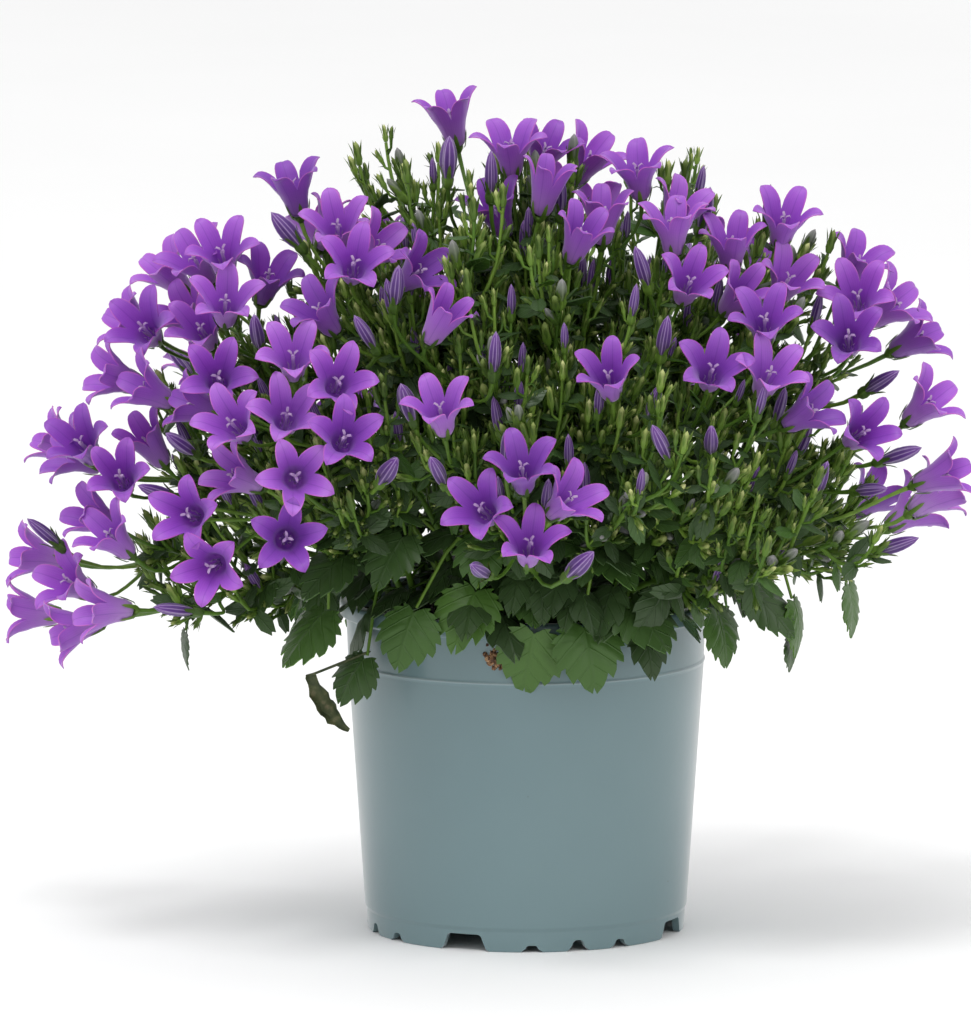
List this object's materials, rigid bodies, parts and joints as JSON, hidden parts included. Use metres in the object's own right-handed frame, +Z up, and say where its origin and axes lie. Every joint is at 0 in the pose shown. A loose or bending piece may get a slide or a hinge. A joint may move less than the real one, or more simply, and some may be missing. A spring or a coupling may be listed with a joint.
{
  "type": "potted bellflower",
  "caption": "Bushy bellflower with violet bells, green buds and toothed leaves, in a round moulded pot of peat.",
  "frame": {"origin": "centre of the plane that the pot rests on, on the pot axis", "axes": "+Z up along the pot axis, -Y towards the viewer of the picture, +X to the right"},
  "size_m": [0.2228, 0.1876, 0.1935],
  "materials": {
    "pot": "satin moulded",
    "peat": "crumbly, damp",
    "petals": "soft petal",
    "foliage": "leaf and stem"
  },
  "bodies": {
    "root": {"blooms_1": "petals", "blooms_10": "petals", "blooms_11": "petals", "blooms_12": "petals", "blooms_13": "petals", "blooms_14": "petals", "blooms_15": "petals", "blooms_16": "petals", "blooms_17": "petals", "blooms_18": "petals", "blooms_19": "petals", "blooms_2": "petals", "blooms_20": "petals", "blooms_21": "petals", "blooms_22": "petals", "blooms_23": "petals", "blooms_24": "petals", "blooms_25": "petals", "blooms_26": "petals", "blooms_27": "petals", "blooms_28": "petals", "blooms_29": "petals", "blooms_3": "petals", "blooms_30": "petals", "blooms_31": "petals", "blooms_32": "petals", "blooms_4": "petals", "blooms_5": "petals", "blooms_6": "petals", "blooms_7": "petals", "blooms_8": "petals", "blooms_9": "petals", "buds_left_peak": "foliage", "buds_middle_high": "foliage", "buds_middle_low": "foliage", "buds_peak": "foliage", "buds_right_low": "foliage", "buds_right_shoulder": "foliage", "pot": "pot", "soil": "peat", "stems_back_1": "foliage", "stems_back_2": "foliage", "stems_back_3": "foliage", "stems_back_4": "foliage", "stems_far_left": "foliage", "stems_front": "foliage", "stems_left_crown": "foliage", "stems_left_face": "foliage", "stems_left_inner": "foliage", "stems_left_low": "foliage", "stems_left_shoulder": "foliage", "stems_middle": "foliage", "stems_middle_right": "foliage", "stems_peak": "foliage", "stems_right_far": "foliage", "stems_right_front": "foliage", "stems_right_low": "foliage", "stems_right_shoulder": "foliage", "stems_top_left": "foliage", "stems_top_right": "foliage"}
  },
  "joints": []
}
